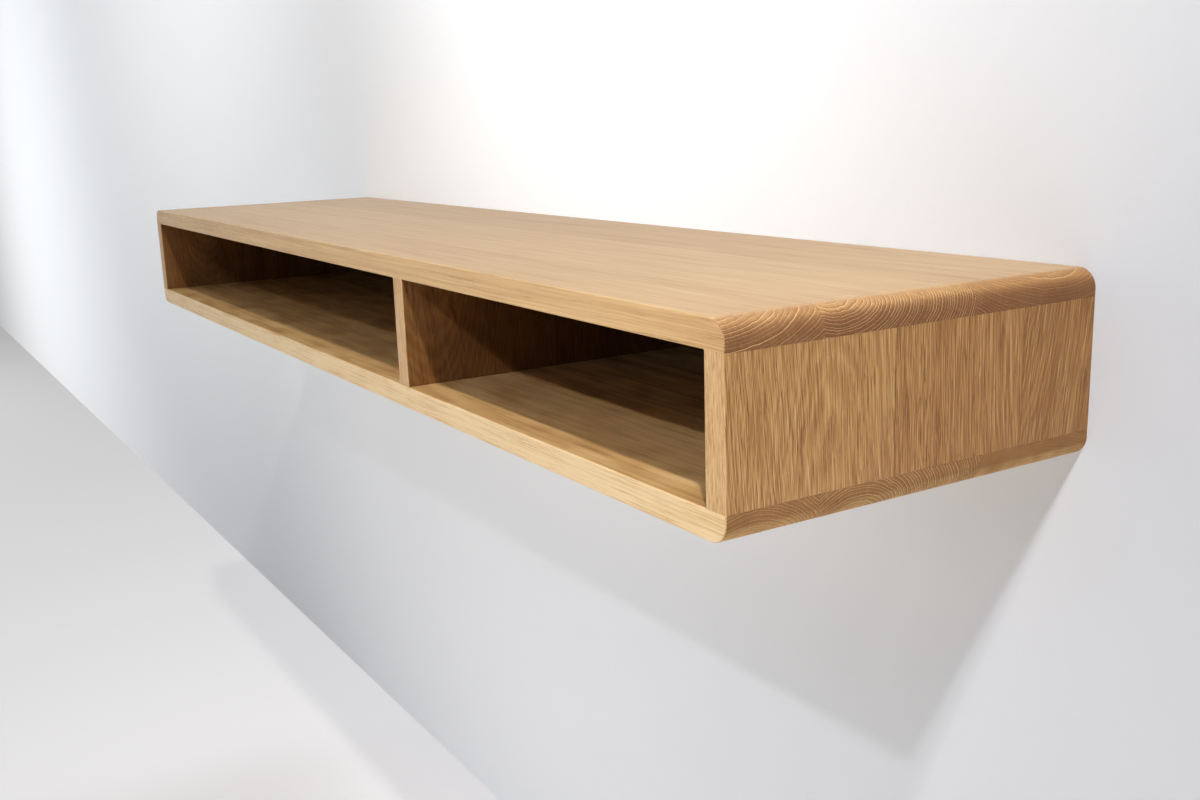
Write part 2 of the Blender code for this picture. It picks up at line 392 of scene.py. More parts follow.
RIPPLE_SWAY = 0.0024
QUIVER_SWAY = 0.0012
QUIVER_SWAY_DEEP = 0.0016
DEEP_SWAY = 0.6  # Share of the grain's bend that goes through the board
SOFT_STREAKS = 0.6
VESSEL_WIDTH = 0.09
VESSEL_BREAK_EDGE = (0.40, 0.62)
UNEVEN_YEARS = 2.6
SPRING = 0.05  # The part of the year up to which all wood is early wood
SUMMER = 0.45  # The part at which early wood has ended and late wood begins
INNER_EDGE = (0.75, 0.98)  # How squarely an inner face faces its way, to count at all and in full for the painted shade
INNER_CALM = 0.5  # How much fainter streaks are inside the case, on the faces painted in shade
TURN_RATE = 3.0  # A rounded end is in full shade a third of the way to end grain
TURN_CALM = 0.8  # How much fainter streaks are there
END_ZONE = (0.58, 0.66)  # Where a long board starts to darken towards its end, and where it stops
END_ZONE_SHADE = 0.4
GLUE_WIDTH = 0.0008
BROWN_STOP = 0.36
HONEY_STOP = 0.62
PORE_MATT = 0.4
STREAK_SHINE = 0.06
STREAK_HEIGHT = 0.3
BUMP_STRENGTH = 0.5
END_MATT = 0.45
END_MATT_FULL = 0.6  # How squarely the grain is cut where it is as rough as that
END_BANDS = 0.30
LINE_SHOW = 0.58  # The pale line that starts each year
LINE_END = 0.20  # The part of the year at which it has faded
LINE_LEAST = 0.35  # How plain the faintest year's line is
LINE_CHOICE = 0.9  # How much plainer the plainest one is
LINE_SPECKS = 0.8  # How broken the lines are
LATE_SHOW = 0.16
RAY_SHOW = 0.24
SPECK_SHOW = 0.14
MARKS_FULL = 0.85  # How squarely the grain is cut where its marks show in full


@dataclass(frozen=True)
class OakFinish:
    """Oiled oak, as solid wood: rings, pores and rays run through it and show on every face.

    Attributes:
        name: The material's name.
        grain: Which way the fibres run.
        staves: The strips that the board is glued up from, in order along Y.
        inside: The faces that look into the case, which get painted shade.
        pore: Colour of open pores.
        brown: Colour of dense late wood and of end grain.
        honey: Colour of the plain face.
        pale: Colour of the lightest streaks.
        lightness: Where the plain face lies between those colours.
        end_lightness: The same for end grain.
        painted_shade_tint: Painted shade: what the colour is multiplied by on the faces inside the case.
        painted_front_light: Painted light: how much paler the narrow faces to the front and rear are made.
        round_shade: How much darker the wood gets where a rounded end starts, and partly just before.
        end_start: How far a rounded end turns before it is plain end grain.
        ring_width: Thickness of one year's growth.
        ring_show: How much the years show on the long faces.
        wander: How often the grain bends along a metre.
        sway: How far it bends.
        bands: Strength of the broad bands along the grain.
        figure: Strength of the broad cross figure.
        streak_noise: How the soft streaks lie.
        streaks: Strength of the streaks.
        front_streaks: The same on those narrow faces.
        dashes: Strength of the dark pore dashes.
        front_dashes: The same on those narrow faces.
        glue_show: How dark the glue lines between staves are.
        roughness: Roughness of the oiled face.
        bump: Depth of the pores.
    """

    name: str
    grain: Grain
    staves: tuple[Stave, ...]
    inside: tuple[ShadedSide, ...] = ()
    pore: Colour = (0.245, 0.106, 0.041)
    brown: Colour = (0.442, 0.224, 0.084)
    honey: Colour = (0.720, 0.440, 0.186)
    pale: Colour = (0.918, 0.632, 0.294)
    lightness: float = 0.775
    end_lightness: float = 0.125
    painted_shade_tint: Colour = (0.40, 0.40, 0.40)
    painted_front_light: float = 0.07
    round_shade: float = 0.19
    end_start: float = 0.65
    ring_width: float = 0.0021
    ring_show: float = 0.06
    wander: float = 2.2
    sway: float = 0.010
    bands: float = 0.24
    figure: float = 0.0
    streak_noise: Noise = Noise((4.0, 130.0, 430.0))
    streaks: float = 0.42
    front_streaks: float = 0.70
    dashes: float = 0.06
    front_dashes: float = 0.30
    glue_show: float = 0.12
    roughness: float = 0.23
    bump: float = 0.00006

    def make(self) -> Material:
        """Build the finish as a material."""
        material, graph, shader = new_material(self.name)
        spot = self.locate(graph)
        wood = self.grow(spot)
        inner = self.painted_shade_share(spot)
        long_tone = self.long_tone(spot, wood, inner)
        cut = spot.ends.step(self.end_start, 1.0)
        marks = self.end_marks(spot, wood) * spot.ends.step(0.0, MARKS_FULL)
        lightness = long_tone + (self.end_tone(spot, wood) - long_tone) * cut + marks
        stops = ((0.0, self.pore), (BROWN_STOP, self.brown), (HONEY_STOP, self.honey), (1.0, self.pale))
        colour = graph.add("ShaderNodeValToRGB", {"stops": stops}, {0: lightness})
        matt = spot.ends.step(0.0, END_MATT_FULL) * END_MATT
        height = wood.streak * STREAK_HEIGHT - wood.pores
        relief = {"Strength": BUMP_STRENGTH, "Distance": self.bump, "Height": height}
        surface = {
            # Painted shade: the colour is multiplied darker on the faces inside the case
            "Base Color": graph.mix(inner, colour, rgba(self.painted_shade_tint), "MULTIPLY"),
            "Roughness": wood.dashes * PORE_MATT - wood.streak * STREAK_SHINE + matt + self.roughness,
            "Normal": graph.add("ShaderNodeBump", sockets=relief),
        }
        graph.feed(shader, surface)
        return material

    def locate(self, graph: Graph) -> Spot:
        """Return where the shaded point lies in its board."""
        x, across, z = graph.split(graph.add("ShaderNodeTexCoord", output="Object"))
        facing = graph.split(graph.add("ShaderNodeTexCoord", output="Normal"))
        joints = tuple(graph.math("GREATER_THAN", across, stave.start) for stave in self.staves[1:])
        if self.grain is Grain.UPRIGHT:
            return Spot(graph, z, across, x, facing, abs(facing[2]), joints)
        return Spot(graph, x, across, z, facing, abs(facing[0]), joints)

    def grow(self, spot: Spot) -> Wood:
        """Return what the oak is like at a place."""
        along = spot.along + self.pick(spot, [STAVE_SHIFT * count for count in range(len(self.staves))])
        side, depth = self.wave(spot, along)
        place = (along, spot.along * self.trait(spot, "slant") + side, depth)
        years, rays = self.years(spot, side, depth)
        season = spot.graph.math("FRACT", years)
        pores = self.pores(place)
        darkness = abs(spot.facing[1]) * (self.front_dashes - self.dashes) + self.dashes
        return Wood(
            bands=BANDS.swing(place),
            figure=FIGURE.swing(place),
            streak=self.streak(place),
            pores=pores,
            dashes=pores * darkness,
            specks=SPECKS.swing((along, side, depth)),
            years=years,
            season=season,
            late=season.step(SUMMER, 1.0),
            rays=rays,
        )

    def pick(self, spot: Spot, values: Sequence[float]) -> Number:
        """Return the value of the stave that a place lies in, by the joints that it has passed."""
        steps = zip(spot.joints, values, values[1:])
        return sum((joint * (after - before) for joint, before, after in steps), values[0])

    def trait(self, spot: Spot, name: str) -> Number:
        """Return a trait of the stave that a place lies in."""
        return self.pick(spot, [getattr(stave, name) for stave in self.staves])

    def wave(self, spot: Spot, along: Wire) -> tuple[Wire, Wire]:
        """Put the grain's waves into a place.

        Args:
            spot: The place.
            along: The place along the grain, set apart for each stave.

        Returns:
            The place across the board and the place through it.
        """
        bends = Noise((self.wander, BENDS_ACROSS, BENDS_ACROSS))
        near = (self.wander * RIPPLES_PER_BEND, RIPPLES_ACROSS, RIPPLES_ACROSS)
        ripples = Noise(near, RIPPLE_DETAIL)
        place = (along, spot.across, spot.deep)
        bend, ripple, quiver = (noise.swing(place) for noise in (bends, ripples, QUIVER))
        side = spot.across + bend * self.sway + ripple * RIPPLE_SWAY + quiver * QUIVER_SWAY
        depth = spot.deep + bend * self.sway * DEEP_SWAY - ripple * RIPPLE_SWAY + quiver * QUIVER_SWAY_DEEP
        return side, depth

    def streak(self, place: Sequence[Wire]) -> Wire:
        """Return soft and thin streaks along the grain, about zero."""
        thin = self.streak_noise.finer(THIN_STREAKS)
        return self.streak_noise.swing(place) * SOFT_STREAKS + thin.swing(place)

    def pores(self, place: Sequence[Wire]) -> Wire:
        """Return 1 in the open pores, which are short thin dashes along the grain, and 0 elsewhere."""
        vessels = abs(VESSELS.swing(place)).step(VESSEL_WIDTH, 0.0)
        return vessels * VESSEL_BREAKS.at(place).step(*VESSEL_BREAK_EDGE)

    def years(self, spot: Spot, side: Wire, depth: Wire) -> tuple[Wire, Wire]:
        """Count the years outwards from the heart, and draw the rays that cross them.

        Args:
            spot: The place.
            side: The place across the board, with the grain's waves.
            depth: The place through the board, with the grain's waves.

        Returns:
            The age in years, with spring at whole years, and the rays, about zero.
        """
        out_side = side - self.trait(spot, "pith_across") - spot.along * self.trait(spot, "lean_across")
        out_deep = depth - self.trait(spot, "pith_deep") - spot.along * self.trait(spot, "lean_deep")
        graph = spot.graph
        radius = graph.math("SQRT", out_side * out_side + out_deep * out_deep)
        turn = graph.math("ARCTAN2", out_side, out_deep)
        years = radius / self.ring_width + UNEVEN.at((radius, 0.0, 0.0)) * UNEVEN_YEARS
        return years, RAYS.swing((turn, radius, spot.along))

    def painted_shade_share(self, spot: Spot) -> Number:
        """Return 1 on the faces that look into the case, where shade is painted, and 0 elsewhere."""
        ways = (face.value for face in self.inside)
        return sum(((spot.facing[axis] * sign).step(*INNER_EDGE) for axis, sign in ways), 0.0)

    def glue_lines(self, spot: Spot) -> Number:
        """Return 1 on the hairlines where staves meet, and 0 elsewhere."""
        joints = ((abs(spot.across - stave.start), stave.glue) for stave in self.staves[1:])
        return sum((away.step(GLUE_WIDTH, 0.0) * glue for away, glue in joints), 0.0)

    def long_tone(self, spot: Spot, wood: Wood, inner: Number) -> Wire:
        """Work out how light the oak is where its surface runs along the grain.

        Args:
            spot: The place.
            wood: The wood there.
            inner: 1 on the faces that look into the case, which get painted shade, and 0 elsewhere.

        Returns:
            The place on the colour ramp.
        """
        front = abs(spot.facing[1])
        turn = spot.graph.math("MINIMUM", spot.ends * TURN_RATE, 1.0)
        near_end = abs(spot.along).step(*END_ZONE)
        early = wood.season.step(SUMMER, SPRING)
        contrast = front * (self.front_streaks - self.streaks) + self.streaks
        return (
            wood.bands * self.bands
            + wood.figure * self.figure
            + wood.streak * (1 - inner * INNER_CALM) * (1 - turn * TURN_CALM) * contrast
            - (early + wood.late) * self.ring_show
            - wood.dashes
            - self.glue_lines(spot) * self.glue_show
            - (turn + near_end * END_ZONE_SHADE) * self.round_shade
            # Painted light: the narrow faces to the front and rear are made paler
            + front * self.painted_front_light
            + self.trait(spot, "tone")
            + self.lightness
        )

    def end_tone(self, spot: Spot, wood: Wood) -> Wire:
        """Return how light the oak is where its surface cuts the grain, without its marks."""
        own_tone = self.trait(spot, "tone") + self.trait(spot, "end_tone")
        return wood.bands * END_BANDS + own_tone + self.end_lightness

    def end_marks(self, spot: Spot, wood: Wood) -> Wire:
        """Draw the lines, rays and specks of cut grain.

        Args:
            spot: The place.
            wood: The wood there.

        Returns:
            How much paler they make the wood.
        """
        year = {"W": wood.years - wood.season}
        choice = spot.graph.add("ShaderNodeTexWhiteNoise", {"noise_dimensions": "1D"}, year)
        plainness = choice * LINE_CHOICE + wood.specks * LINE_SPECKS + LINE_LEAST
        line = wood.season.step(LINE_END, SPRING) * plainness * LINE_SHOW
        marks = line - wood.late * LATE_SHOW + wood.rays * RAY_SHOW + wood.specks * SPECK_SHOW
        return marks * self.trait(spot, "rings")


# Flecks and soft clouds that all the beech pieces share

FLECKS = Noise((260.0, 1500.0, 1500.0), detail=1.0)
FLECK_EDGE = (0.60, 0.70)
FLECK_SHOW = 0.7
CLOUDS = Noise((20.0, 200.0, 200.0))
CLOUD_SHOW = 0.3
CLOUD_MATT = 0.1


@dataclass(frozen=True)
class BeechFinish:
    """Plain milled beech: even, pinkish, with short dark flecks along the grain.

    Attributes:
        name: The material's name.
        grain: Which way the fibres run.
        ground: Colour of the plain wood.
        fleck: Colour of the flecks.
        roughness: Roughness of the milled face.
    """

    name: str
    grain: Grain
    ground: Colour = (0.640, 0.430, 0.265)
    fleck: Colour = (0.430, 0.245, 0.130)
    roughness: float = 0.62

    def make(self) -> Material:
        """Build the finish as a material."""
        material, graph, shader = new_material(self.name)
        x, y, z = graph.split(graph.add("ShaderNodeTexCoord", output="Object"))
        place = (x, y, z) if self.grain is Grain.ALONG else (z, y, x)
        cloud = CLOUDS.at(place)
        share = FLECKS.at(place).step(*FLECK_EDGE) * FLECK_SHOW + cloud * CLOUD_SHOW
        colour = graph.mix(share, rgba(self.ground), rgba(self.fleck))
        graph.feed(shader, {"Base Color": colour, "Roughness": cloud * CLOUD_MATT + self.roughness})
        return material


@dataclass(frozen=True)
class LightPatch:
    """A soft round pool of painted light, where a backdrop is paler.

    Attributes:
        place: The middle of the patch.
        reach: How far it reaches.
        lift: How much paler its middle is.
    """

    place: Point
    reach: float
    lift: float


@dataclass(frozen=True)
class PaintFinish:
    """Matt paint on the wall or the floor, see-through for a camera that stands behind it.

    Attributes:
        name: The material's name.
        colour: The paint's colour under the lamps.
        glow: How much paler the camera sees it all over.
        light_patches: Pools of painted light, where the camera sees it paler again.
        sheen: How much of that shows in the wood's sheen.
        mottle: How uneven the paint is.
        mottle_count: How many of its clouds lie in a metre.
        roughness: Roughness of the paint.
    """

    name: str
    colour: Colour
    glow: float
    light_patches: tuple[LightPatch, ...] = ()
    sheen: float = 0.30
    mottle: float = 0.015
    mottle_count: float = 3.0
    roughness: float = 0.9

    def make(self) -> Material:
        """Build the finish as a material."""
        material, graph, paint = new_material(self.name)
        place = graph.add("ShaderNodeTexCoord", output="Object")
        cloud = graph.add("ShaderNodeTexNoise", sockets={"Vector": place, "Scale": self.mottle_count})
        darker = tuple(part * (1 - self.mottle) for part in self.colour)
        # The patches are painted light: pools where the backdrop looks paler
        lifts = (place.away(patch.place).step(patch.reach, 0.0) * patch.lift for patch in self.light_patches)
        level = graph.shown(self.sheen) * sum(lifts, self.glow)
        look = {
            "Base Color": graph.mix(cloud, rgba(self.colour), rgba(darker)),
            "Roughness": self.roughness,
            "Specular IOR Level": 0.0,
            "Emission Color": graph.mix(level, rgba(BLACK), rgba(WHITE)),
            "Emission Strength": 1.0,
        }
        graph.feed(paint, look)
        front = Wire(graph, paint.outputs["BSDF"])
        clear = graph.add("ShaderNodeBsdfTransparent")
        behind = graph.add("ShaderNodeNewGeometry", output="Backfacing")
        seen = graph.add("ShaderNodeLightPath", output="Is Camera Ray")
        surface = graph.add("ShaderNodeMixShader", sockets={0: behind * seen, 1: front, 2: clear})
        graph.feed(graph.tree.nodes["Material Output"], {"Surface": surface})
        return material


# Modelling helpers

FACING = 0.5  # How far a face has to point some way to count as facing that way
FACING_SQUARELY = 0.9
LEVEL_DIGITS = 6  # Decimals to which two heights have to agree to count as level


def block(low: Vector, high: Vector) -> BMesh:
    """Return a box between its lowest and its highest corner."""
    shape = bmesh.new()
    bmesh.ops.create_cube(shape, size=1.0)
    bmesh.ops.scale(shape, verts=shape.verts, vec=high - low)
    bmesh.ops.translate(shape, verts=shape.verts, vec=(low + high) / 2)
    return shape


def middle(edge: BMEdge) -> Vector:
    """Return the middle point of an edge."""
    return (edge.verts[0].co + edge.verts[1].co) / 2


def soften(shape: BMesh, edges: Iterable[BMEdge], width: float, segments: int) -> None:
    """Round some edges of a shape.

    Args:
        shape: The shape to change.
        edges: The edges to round.
        width: How far the rounding reaches on each side.
        segments: How many facets it has.
    """
    bmesh.ops.bevel(
        shape, geom=list(edges), offset=width, segments=segments,
        profile=0.5, affect="EDGES", clamp_overlap=True, material=-1,
    )
    shape.normal_update()


def new_object(name: str, shape: BMesh) -> Object:
    """Turn a shape into an object of the scene.

    Args:
        name: The object's name.
        shape: The shape, which is used up.

    Returns:
        The object.
    """
    mesh = bpy.data.meshes.new(name)
    shape.to_mesh(mesh)
    shape.free()
    obj = bpy.data.objects.new(name, mesh)
    bpy.context.scene.collection.objects.link(obj)
    return obj


def carve(piece: Object, cutters: Iterable[BMesh]) -> None:
    """Take some shapes out of a piece for good.

    Args:
        piece: The piece to cut.
        cutters: Closed shapes, which are used up.
    """
    for shape in cutters:
        cutter = new_object("cutter", shape)
        modifier = piece.modifiers.new("cut", "BOOLEAN")
        modifier.object = cutter
        modifier.solver = "EXACT"
        evaluated = piece.evaluated_get(bpy.context.evaluated_depsgraph_get())
        cut_mesh = bpy.data.meshes.new_from_object(evaluated)
        piece.modifiers.clear()
        whole_mesh = piece.data
        piece.data = cut_mesh
        cut_mesh.name = piece.name
        bpy.data.meshes.remove(whole_mesh)
        bpy.data.objects.remove(cutter)


def shade(piece: Object, crease: float = math.radians(40)) -> None:
    """Shade a piece smooth over its rounded edges and keep its flat faces flat.

    Args:
        piece: The piece.
        crease: The angle from which an edge stays sharp.
    """
    piece.data.shade_smooth()
    piece.data.set_sharp_from_angle(angle=crease)
    weighted = piece.modifiers.new("flat_faces", "WEIGHTED_NORMAL")
    weighted.keep_sharp = True


def dress(piece: Object, finish: Material) -> None:
    """Give a piece one material."""
    piece.data.materials.clear()
    piece.data.materials.append(finish)


def redress(node: str, finish: Material) -> None:
    """Give a CAD node, which keeps its shape, one material."""
    dress(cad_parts[node], finish)
    LOG.info("%s: CAD shape in %s", node, finish.name)


def settle(piece: Object, node: str) -> None:
    """Seat a new piece on the case's body in place of a CAD node.

    Args:
        piece: The new piece.
        node: The CAD node that it stands for.
    """
    shade(piece)
    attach(piece, CASE_BODY)
    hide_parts(node)
    LOG.info("%s: %d faces, on %s", piece.name, len(piece.data.polygons), CASE_BODY)


# The console

FRONT = CAD_BOX[0][1]

TOP_OAK = OakFinish(
    "top_oak",
    Grain.ALONG,
    (
        Stave(FRONT, -0.318, 0.178, lean_deep=0.010, tone=-0.06, end_tone=0.04),
        Stave(-0.240, -0.226, 0.118, lean_deep=-0.012, rings=1.6, end_tone=-0.10),
        Stave(-0.115, -0.050, 0.190, lean_across=0.02, lean_deep=0.015, rings=0.6, tone=-0.09),
    ),
    # Painted shade: the underside is darker inside the bays
    inside=(ShadedSide.DOWN,),
    painted_shade_tint=(0.34, 0.35, 0.37),
    ring_show=0.02,
    bands=0.15,
    bump=0.00003,
)
BOTTOM_OAK = OakFinish(
    "bottom_oak",
    Grain.ALONG,
    (
        Stave(FRONT, -0.292, -0.103, lean_deep=0.012, rings=0.7, tone=0.02),
        Stave(-0.243, -0.212, -0.072, lean_deep=-0.010, rings=1.1),
        Stave(-0.107, -0.060, -0.150, lean_across=0.02, rings=0.3, tone=-0.02),
    ),
    brown=(0.455, 0.233, 0.084),
    honey=(0.735, 0.466, 0.190),
    pale=(0.980, 0.740, 0.415),
    lightness=0.60,
    end_lightness=0.22,
    # Painted light: the front face is made much paler
    painted_front_light=0.42,
    round_shade=0.09,
    end_start=0.92,
    figure=0.58,
    roughness=0.40,
)
UPRIGHT_OAK = OakFinish(
    "upright_oak",
    Grain.UPRIGHT,
    (),
    pore=(0.225, 0.092, 0.030),
    brown=(0.452, 0.222, 0.076),
    honey=(0.690, 0.407, 0.163),
    pale=(0.890, 0.640, 0.345),
    lightness=0.575,
    # Painted shade on the faces inside the case, and painted light on the front faces
    painted_shade_tint=(0.44, 0.37, 0.32),
    painted_front_light=0.17,
    ring_show=0.10,
    wander=7.0,
    sway=0.006,
    streak_noise=Noise((12.0, 860.0, 600.0)),
    streaks=0.80,
    dashes=0.58,
    glue_show=0.32,
)
RIGHT_END_OAK = replace(
    UPRIGHT_OAK,
    name="right_end_oak",
    staves=(
        Stave(FRONT, -0.231, 0.560, lean_deep=-0.07, slant=0.07, tone=0.03),
        Stave(-0.183, -0.060, 0.600, lean_across=0.10, lean_deep=0.10, slant=0.05, tone=-0.06),
        Stave(
            -0.070, -0.090, 0.580, lean_across=-0.10, lean_deep=0.20, slant=-0.11, tone=-0.11, glue=0.1
        ),
    ),
    inside=(ShadedSide.LEFT,),
)
LEFT_END_OAK = replace(
    UPRIGHT_OAK,
    name="left_end_oak",
    staves=(
        Stave(FRONT, -0.250, -0.570, lean_deep=-0.15, slant=0.05),
        Stave(-0.150, -0.090, -0.560, lean_deep=0.20, slant=-0.08, tone=-0.04),
    ),
    inside=(ShadedSide.RIGHT,),
)
DIVIDER_OAK = replace(
    UPRIGHT_OAK,
    name="divider_oak",
    staves=(
        Stave(FRONT, -0.290, 0.120, lean_deep=0.12, slant=0.06),
        Stave(-0.165, -0.060, 0.290, lean_deep=-0.12, slant=-0.05, tone=-0.04),
    ),
    inside=(ShadedSide.LEFT, ShadedSide.RIGHT),
)
BACK_OAK = OakFinish(
    "back_oak",
    Grain.ALONG,
    (Stave(FRONT, 0.080, -0.060, lean_deep=0.03),),
    # Darker than the other oak, and darker again on its front face: painted shade at the back of the bays
    inside=(ShadedSide.FRONT,),
    honey=(0.560, 0.340, 0.155),
    pale=(0.760, 0.520, 0.280),
    lightness=0.60,
    painted_shade_tint=(0.25, 0.24, 0.26),
    painted_front_light=0.0,
)
RAIL_OAK = OakFinish(
    "rail_oak",
    Grain.ALONG,
    (Stave(FRONT, 0.060, 0.090, lean_deep=0.02),),
    lightness=0.58,
    painted_front_light=0.0,
    roughness=0.62,
)


@dataclass
class Case:
    """The open case: two long boards, three uprights and a thin back.

    Attributes:
        end_round: Radius of the outer corners at both ends.
        round_segments: Facets of that radius.
        arris: How far the front edges are eased.
        arris_segments: Facets of an eased edge.
        seam: Space left where two boards meet.
        seam_ease: How far the uprights' ends are eased, which draws the joint as a hairline.
        seam_segments: Facets of that ease.
        clearance: Room round a tenon or the back panel in its slot.
        slot_round: Share of half a slot's width that its corners are rounded by.
        slot_segments: Facets of a slot's corner.
    """

    end_round: float = 0.014
    round_segments: int = 40
    arris: float = 0.0010
    arris_segments: int = 4
    seam: float = 0.00005
    seam_ease: float = 0.00025
    seam_segments: int = 2
    clearance: float = 0.0003
    slot_round: float = 0.998
    slot_segments: int = 8

    def build(self) -> None:
        """Build and dress every board of the case."""
        self.long_board("top_panel", "oak_top", 1, TOP_OAK)
        self.long_board("bottom_panel", "oak_bottom", -1, BOTTOM_OAK)
        self.upright("left_end_panel", "oak_left_end", LEFT_END_OAK)
        self.upright("divider_panel", "oak_divider", DIVIDER_OAK)
        self.upright("right_end_panel", "oak_right_end", RIGHT_END_OAK)
        redress("back_panel", BACK_OAK.make())

    def bays(self) -> list[tuple[float, float]]:
        """Return where each bay starts and ends along X."""
        left, divider, right = map(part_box, ("left_end_panel", "divider_panel", "right_end_panel"))
        return [(left[1].x, divider[0].x), (divider[1].x, right[0].x)]

    def long_board(self, node: str, name: str, outward: int, finish: OakFinish) -> None:
        """Build the top or the bottom board.

        Args:
            node: The CAD node that it stands for.
            name: The new piece's name.
            outward: 1 where the outer face is on top and -1 where it is underneath.
            finish: The board's oak.
        """
        low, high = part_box(node)
        shape = block(low, high)
        centre = (low + high) / 2
        ends = [
            edge
            for edge in shape.edges
            if all((vertex.co.z - centre.z) * outward > 0 for vertex in edge.verts)
            and abs(middle(edge).x - centre.x) > high.x / 2
        ]
        soften(shape, ends, self.end_round, self.round_segments)
        soften(shape, self.front_edges(shape, outward), self.arris, self.arris_segments)
        piece = new_object(name, shape)
        inner_edge = low.z if outward > 0 else high.z
        shavings = [self.shaving(low.y, inner_edge, outward, bay) for bay in self.bays()]
        carve(piece, [self.slot("back_panel"), *self.mortises(low, high), *shavings])
        dress(piece, finish.make())
        settle(piece, node)

    def front_edges(self, shape: BMesh, outward: int) -> list[BMEdge]:
        """Return the edges round a long board's front face, all but the inner one.

        Args:
            shape: The board.
            outward: 1 where the outer face is on top and -1 where it is underneath.

        Returns:
            The edges.
        """
        return [
            edge
            for edge in shape.edges
            if sum(face.normal.y < -FACING for face in edge.link_faces) == 1
            and not any(face.normal.z * outward < -FACING for face in edge.link_faces)
        ]

    def shaving(self, front: float, inner: float, outward: int, bay: tuple[float, float]) -> BMesh:
        """Return the sliver that eases a long board's inner front edge along one bay.

        Args:
            front: The front face's Y.
            inner: The inner face's Z.
            outward: 1 where the outer face is on top and -1 where it is underneath.
            bay: Where the bay starts and ends along X.

        Returns:
            A closed bar with a hollow side.
        """
        shape = bmesh.new()
        depth = self.arris * outward
        start = shape.verts.new((bay[0], front, inner + depth))
        hub = (bay[0], front + self.arris, inner + depth)
        quarter = math.pi / 2 * outward
        bmesh.ops.spin(
            shape, geom=[start], cent=hub, axis=(1, 0, 0), angle=quarter, steps=self.arris_segments
        )
        spare = self.arris / 2
        outside = (
            (bay[0], front + self.arris, inner - depth / 2),
            (bay[0], front - spare, inner - depth / 2),
            (bay[0], front - spare, inner + depth),
        )
        rim = shape.verts[:] + [shape.verts.new(point) for point in outside]
        profile = shape.faces.new(rim)
        swept = bmesh.ops.extrude_face_region(shape, geom=[profile])["geom"]
        moved = [item for item in swept if isinstance(item, BMVert)]
        bmesh.ops.translate(shape, verts=moved, vec=(bay[1] - bay[0], 0, 0))
        bmesh.ops.recalc_face_normals(shape, faces=shape.faces)
        return shape

    def upright(self, node: str, name: str, finish: OakFinish) -> None:
        """Build an end panel or the divider.

        Args:
            node: The CAD node that it stands for.
            name: The new piece's name.
            finish: The board's oak.
        """
        low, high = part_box(node)
        low.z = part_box("bottom_panel")[1].z + self.seam
        high.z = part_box("top_panel")[0].z - self.seam
        shape = block(low, high)
        front = [edge for edge in shape.edges if middle(edge).y < low.y + self.arris]
        corners = [edge for edge in front if low.z + self.arris < middle(edge).z < high.z - self.arris]
        soften(shape, corners, self.arris, self.arris_segments)
        rims = [
            edge
            for edge in shape.edges
            if len({round(vertex.co.z, LEVEL_DIGITS) for vertex in edge.verts}) == 1
            and any(abs(face.normal.x) > FACING_SQUARELY for face in edge.link_faces)
        ]
        soften(shape, rims, self.seam_ease, self.seam_segments)
        piece = new_object(name, shape)
        cutters = self.mortises(low, high)
        if high.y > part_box("back_panel")[1].y:
            cutters.append(self.slot("back_panel"))
        carve(piece, cutters)
        dress(piece, finish.make())
        settle(piece, node)

    def slot(self, node: str) -> BMesh:
        """Return a square slot that a CAD node fits into."""
        room = Vector.Fill(3, self.clearance)
        return block(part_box(node)[0] - room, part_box(node)[1] + room)

    def mortises(self, low: Vector, high: Vector) -> list[BMesh]:
        """Return the slots for the tenons and dowels that reach into a board.

        Args:
            low: The board's lowest corner.
            high: The board's highest corner.

        Returns:
            One closed shape for each slot.
        """
        slots = []
        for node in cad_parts:
            if not ("_tenon_" in node or node.endswith("_dowel")):
                continue
            first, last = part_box(node)
            if any(first[axis] > high[axis] or last[axis] < low[axis] for axis in range(3)):
                continue
            slot = self.slot(node)
            length_axis = 2 if "_tenon_" in node else 0
            sides = [
                edge
                for edge in slot.edges
                if abs((edge.verts[0].co - edge.verts[1].co)[length_axis]) > self.arris
            ]
            radius = (last - first).x / 2 if length_axis == 2 else (last - first).y / 2
            soften(slot, sides, (radius + self.clearance) * self.slot_round, self.slot_segments)
            slots.append(slot)
        return slots


@dataclass
class Joinery:
    """The loose tenons and dowels inside the joints, and the two bevelled rails.

    Attributes:
        tenon: The tenons' beech.
        dowel: The dowels' beech.
        rail: The rails' oak.
    """

    tenon: BeechFinish = BeechFinish("tenon_beech", Grain.UPRIGHT)
    dowel: BeechFinish = BeechFinish("dowel_beech", Grain.ALONG)
    rail: OakFinish = RAIL_OAK

    def build(self) -> None:
        """Dress the hidden pieces."""
        tenon, dowel, rail = self.tenon.make(), self.dowel.make(), self.rail.make()
        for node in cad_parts:
            if "_tenon_" in node:
                redress(node, tenon)
            elif node.endswith("_dowel"):
                redress(node, dowel)
            elif node.endswith("_rail"):
                redress(node, rail)


# The stage


